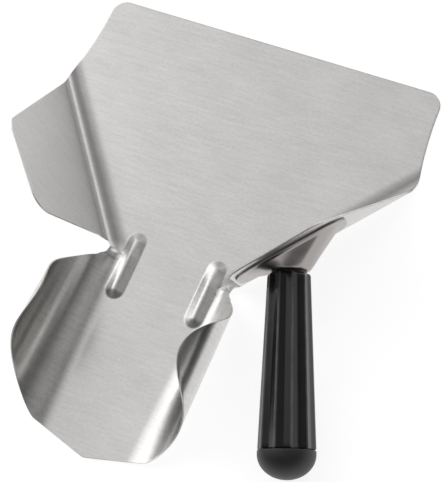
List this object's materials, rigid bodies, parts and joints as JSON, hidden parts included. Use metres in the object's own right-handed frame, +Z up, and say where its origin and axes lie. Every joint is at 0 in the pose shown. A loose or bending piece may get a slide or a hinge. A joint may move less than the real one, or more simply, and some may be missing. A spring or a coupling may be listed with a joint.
{
  "type": "fry bagging scoop",
  "caption": "Stainless fry bagging scoop: wide flat pan with raised side wings, narrow trough chute with rolled walls, and a fluted black handle on the right.",
  "frame": {"origin": "on the centre line of the pan's flat underside, level with the neck between pan and chute", "axes": "+Y along the centre line towards the wide lip, +X towards the handle side, +Z up out of the pan on the side that holds the food"},
  "size_m": [0.2282, 0.249, 0.0673],
  "materials": {
    "scoop_steel": "satin, grain across the sheet",
    "bracket_steel": "polished stamping",
    "hardware_steel": "bright zinc",
    "insert_brass": "turned",
    "black_collar": "matte",
    "grip_plastic": "glossy moulded",
    "cap_plastic": "satin moulded"
  },
  "bodies": {
    "root": {"scoop_sheet": "scoop_steel", "handle_bracket": "bracket_steel", "collar_washer": "black_collar", "flat_washer": "hardware_steel", "lock_washer": "hardware_steel", "handle_screw": "hardware_steel", "threaded_insert": "insert_brass", "handle_grip": "grip_plastic", "handle_end_cap": "cap_plastic"}
  },
  "joints": []
}
